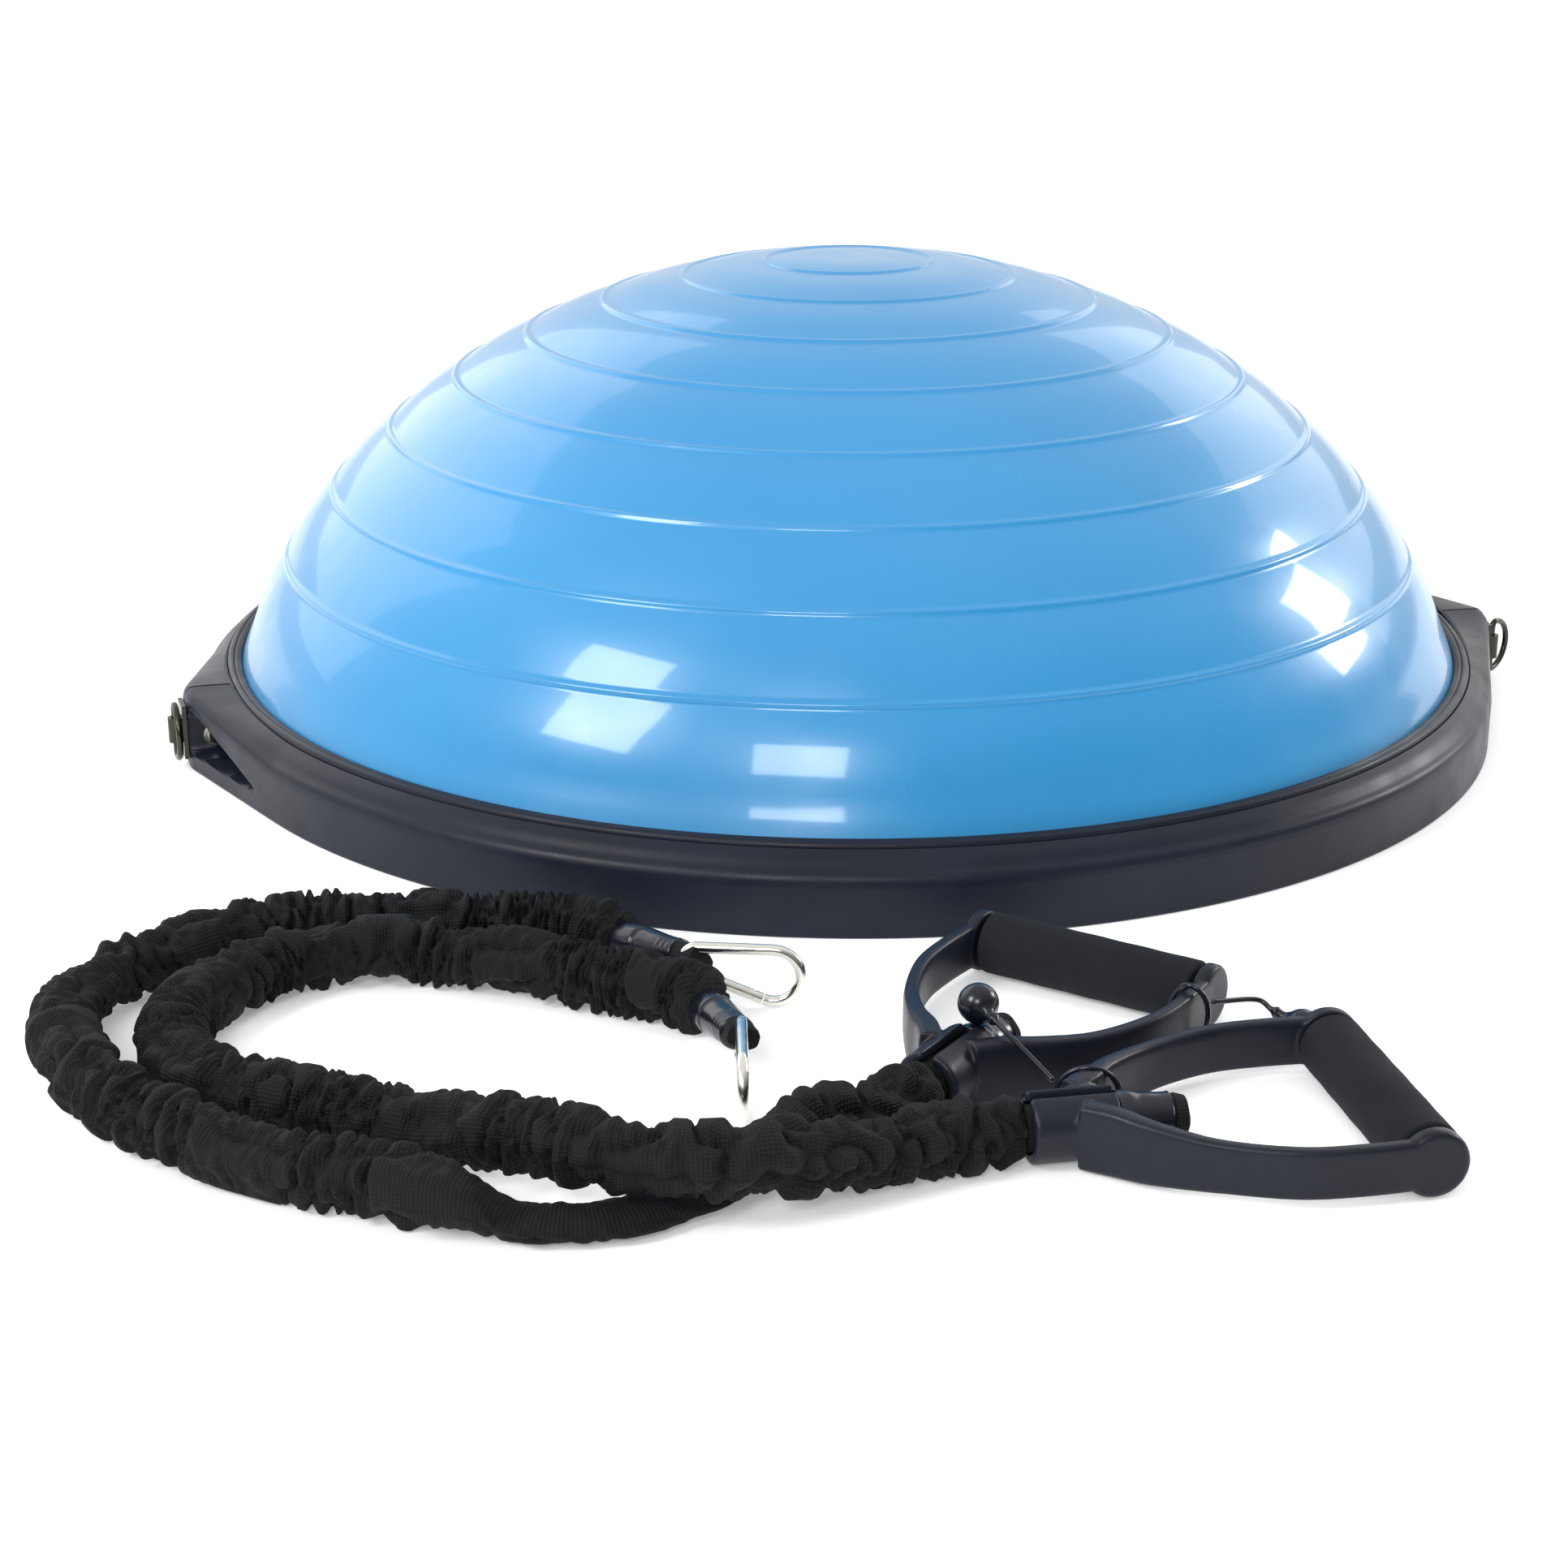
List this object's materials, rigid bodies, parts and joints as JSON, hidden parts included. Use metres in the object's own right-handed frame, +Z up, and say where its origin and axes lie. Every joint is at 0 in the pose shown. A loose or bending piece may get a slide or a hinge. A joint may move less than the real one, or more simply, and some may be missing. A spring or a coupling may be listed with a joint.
{
  "type": "balance dome trainer",
  "caption": "Round platform with a clamped inflated dome, swinging D-rings on its ears, and sleeved resistance bands with handles and carabiners laid in front.",
  "frame": {"origin": "centre of the platform's underside, on the floor", "axes": "+Z up through the top of the dome, -Y towards the side where the bands lie"},
  "size_m": [0.6612, 0.8919, 0.222],
  "materials": {
    "platform_plastic": "satin moulded",
    "dome_pvc": "glossy",
    "grip_rubber": "matt",
    "dark_steel": "black nickel",
    "nickel": "polished nickel",
    "handle_plastic": "satin moulded",
    "foam": "matt closed-cell foam",
    "cord_rubber": "satin",
    "sleeve_fabric": "plain weave, gathered"
  },
  "bodies": {
    "trainer": {"platform_shell": "platform_plastic", "base_plate": "platform_plastic", "anti_slip_ring": "grip_rubber", "bead_ring": "platform_plastic", "dome_bladder": "dome_pvc", "base_screw_1": "dark_steel", "base_screw_2": "dark_steel", "base_screw_3": "dark_steel", "base_screw_4": "dark_steel", "base_screw_5": "dark_steel", "base_screw_6": "dark_steel", "d_ring_bracket_left": "dark_steel", "bracket_washer_left": "nickel", "bracket_bolt_left": "dark_steel", "d_ring_bracket_right": "dark_steel", "bracket_washer_right": "nickel", "bracket_bolt_right": "dark_steel"},
    "d_ring_left": {"d_ring_left": "dark_steel"},
    "d_ring_right": {"d_ring_right": "dark_steel"},
    "air_plug": {"air_plug": "grip_rubber"},
    "band_set": {"handle_yoke_1": "handle_plastic", "band_stopper_1": "cord_rubber", "band_tail_1": "sleeve_fabric", "band_neck_1": "sleeve_fabric", "carabiner_1": "nickel", "band_sleeve_1": "sleeve_fabric", "band_cuff_1": "cord_rubber", "band_tab_1": "sleeve_fabric", "tie_loop_1": "cord_rubber", "tie_ball_1": "cord_rubber", "tie_strand_1": "cord_rubber", "handle_yoke_2": "handle_plastic", "band_stopper_2": "cord_rubber", "band_tail_2": "sleeve_fabric", "band_neck_2": "sleeve_fabric", "carabiner_2": "nickel", "band_sleeve_2": "sleeve_fabric", "band_cuff_2": "cord_rubber", "band_tab_2": "sleeve_fabric", "tie_loop_2": "cord_rubber", "tie_ball_2": "cord_rubber", "tie_strand_2": "cord_rubber"},
    "grip_1": {"grip_core_1": "handle_plastic", "foam_grip_1": "foam"},
    "gate_1": {"carabiner_gate_1": "nickel", "gate_pin_1": "dark_steel"},
    "grip_2": {"grip_core_2": "handle_plastic", "foam_grip_2": "foam"},
    "gate_2": {"carabiner_gate_2": "nickel", "gate_pin_2": "dark_steel"}
  },
  "joints": [
    {"name": "d_ring_left_swing", "type": "hinge", "parent": "trainer", "child": "d_ring_left", "pos_m": [-0.31386, -0.11424, 0.018], "axis": [0, 0, 1], "range_deg": [-180, 0]},
    {"name": "d_ring_right_swing", "type": "hinge", "parent": "trainer", "child": "d_ring_right", "pos_m": [0.33217, 0.03491, 0.018], "axis": [0, 0, 1], "range_deg": [-135, 45]},
    {"name": "air_plug_pull", "type": "slide", "parent": "trainer", "child": "air_plug", "axis": [0, 0, -1], "range_m": [0, 0.014]},
    {"name": "band_lift", "type": "slide", "parent": "trainer", "child": "band_set", "axis": [0, 0, 1], "range_m": [0, 0.25]},
    {"name": "grip_1_spin", "type": "hinge", "parent": "band_set", "child": "grip_1", "pos_m": [0.09471, -0.37184, 0.0128], "axis": [-0.848, 0.5299, 0], "continuous": true},
    {"name": "grip_2_spin", "type": "hinge", "parent": "band_set", "child": "grip_2", "pos_m": [0.18329, -0.48222, 0.0128], "axis": [-0.2079, 0.9781, 0], "continuous": true},
    {"name": "carabiner_gate_1_open", "type": "hinge", "parent": "band_set", "child": "gate_1", "pos_m": [-0.05266, -0.38251, 0.0124], "axis": [-0.0698, -0.9976, 0], "range_deg": [0, 22], "stiffness_Nm_per_rad": 0.03, "springref_deg": -8.59},
    {"name": "carabiner_gate_2_open", "type": "hinge", "parent": "band_set", "child": "gate_2", "pos_m": [-0.03562, -0.45235, 0.0124], "axis": [-0.9986, -0.0523, 0], "range_deg": [0, 22], "stiffness_Nm_per_rad": 0.03, "springref_deg": -8.59}
  ]
}
